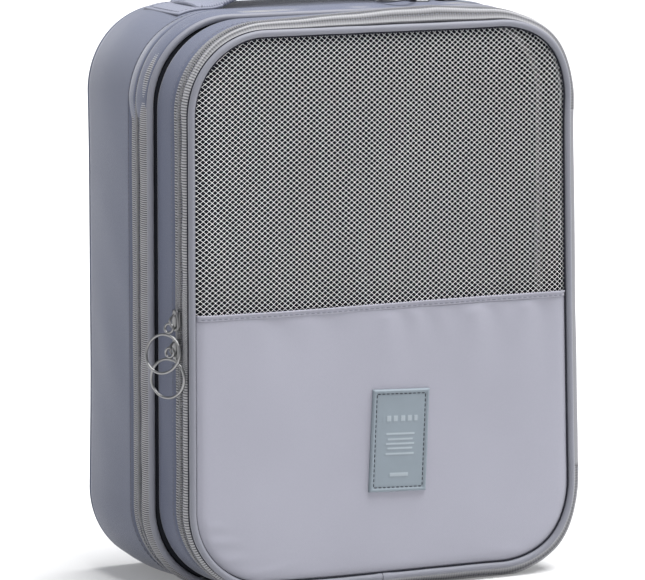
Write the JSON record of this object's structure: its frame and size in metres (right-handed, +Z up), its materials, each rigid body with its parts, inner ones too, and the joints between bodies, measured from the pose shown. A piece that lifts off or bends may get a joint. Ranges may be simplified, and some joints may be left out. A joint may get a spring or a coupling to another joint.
{
  "type": "shoe bag",
  "caption": "Upright zipped shoe bag with a deep rear case, a shallow front case and a piped cover with a mesh window, top handle and ring-pull zip sliders.",
  "frame": {"origin": "on the floor under the bag, midway across its width, on the zip tape that runs along the bottom of the rear case", "axes": "+X across the width to the hinge side, the mesh window faces -Y, +Z up"},
  "size_m": [0.2565, 0.1247, 0.3453],
  "materials": {
    "shell_fabric": "smooth waterproof polyester, grey-lavender",
    "panel_fabric": "smooth satin polyester, pale grey-lavender",
    "piping_fabric": "piping covered in tight polyester",
    "net": "light grey diamond net",
    "zip_tape": "ribbed woven zip tape",
    "zip_coil": "moulded nylon coil",
    "binding": "woven seam binding",
    "label": "moulded soft patch, satin",
    "metal": "plated zinc alloy, satin nickel"
  },
  "bodies": {
    "rear_case": {"back_panel": "shell_fabric", "rear_gusset": "shell_fabric", "back_seam_binding": "binding", "rear_zip_rear_tape": "zip_tape", "rear_zip_rear_coil": "zip_coil", "rear_zip_upper_stop": "zip_coil", "rear_zip_lower_stop": "zip_coil", "handle_strap": "panel_fabric", "handle_left_anchor": "binding", "handle_right_anchor": "binding"},
    "front_case": {"divider_panel": "shell_fabric", "middle_piping": "piping_fabric", "rear_zip_front_tape": "zip_tape", "rear_zip_front_coil": "zip_coil", "divider_seam_binding": "binding", "rear_hinge_strip": "shell_fabric", "front_gusset": "shell_fabric", "front_gusset_binding": "binding", "front_zip_rear_tape": "zip_tape", "front_zip_rear_coil": "zip_coil", "front_zip_upper_stop": "zip_coil", "front_zip_lower_stop": "zip_coil"},
    "cover": {"window_net": "net", "lower_panel": "panel_fabric", "window_hem": "panel_fabric", "front_piping": "piping_fabric", "cover_seam_binding": "binding", "front_zip_front_tape": "zip_tape", "front_zip_front_coil": "zip_coil", "front_hinge_strip": "shell_fabric", "label_patch": "label"},
    "front_upper_runner": {"front_upper_slider": "metal", "front_upper_bail": "metal"},
    "front_upper_pull": {"front_upper_ring_pull": "metal"},
    "front_lower_runner": {"front_lower_slider": "metal", "front_lower_bail": "metal"},
    "front_lower_pull": {"front_lower_ring_pull": "metal"},
    "rear_left_runner": {"rear_left_slider": "metal", "rear_left_bail": "metal"},
    "rear_left_pull": {"rear_left_ring_pull": "metal"},
    "rear_right_runner": {"rear_right_slider": "metal", "rear_right_bail": "metal"},
    "rear_right_pull": {"rear_right_ring_pull": "metal"}
  },
  "joints": [
    {"name": "front_case_hinge", "type": "hinge", "parent": "rear_case", "child": "front_case", "pos_m": [0.122, 0.00085, 0.158], "axis": [0, 0, 1], "range_deg": [0, 120]},
    {"name": "cover_hinge", "type": "hinge", "parent": "front_case", "child": "cover", "pos_m": [0.115, -0.04085, 0.157], "axis": [0, 0, 1], "range_deg": [0, 130]},
    {"name": "front_upper_slide", "type": "slide", "parent": "front_case", "child": "front_upper_runner", "axis": [0, 0, 1], "range_m": [0, 0.095]},
    {"name": "front_lower_slide", "type": "slide", "parent": "front_case", "child": "front_lower_runner", "axis": [0, 0, -1], "range_m": [0, 0.075]},
    {"name": "rear_left_slide", "type": "slide", "parent": "rear_case", "child": "rear_left_runner", "axis": [-1, 0, 0], "range_m": [0, 0.11]},
    {"name": "rear_right_slide", "type": "slide", "parent": "rear_case", "child": "rear_right_runner", "axis": [1, 0, 0], "range_m": [0, 0.005]},
    {"name": "front_lower_pull_hinge", "type": "hinge", "parent": "front_lower_runner", "child": "front_lower_pull", "pos_m": [-0.1214, -0.0495, 0.1405], "axis": [0, 1, 0], "range_deg": [0, 130]},
    {"name": "front_upper_pull_hinge", "type": "hinge", "parent": "front_upper_runner", "child": "front_upper_pull", "pos_m": [-0.1214, -0.0495, 0.1535], "axis": [0, 1, 0], "range_deg": [0, 130]},
    {"name": "rear_left_pull_hinge", "type": "hinge", "parent": "rear_left_runner", "child": "rear_left_pull", "pos_m": [0.0485, -0.009, 0.3204], "axis": [0, 1, 0], "range_deg": [0, 95]},
    {"name": "rear_right_pull_hinge", "type": "hinge", "parent": "rear_right_runner", "child": "rear_right_pull", "pos_m": [0.0615, -0.009, 0.3204], "axis": [0, -1, 0], "range_deg": [0, 95]}
  ],
  "couplings": [
    {"joint": "front_upper_pull_hinge", "follows": "front_lower_pull_hinge", "ratio": 1}
  ]
}
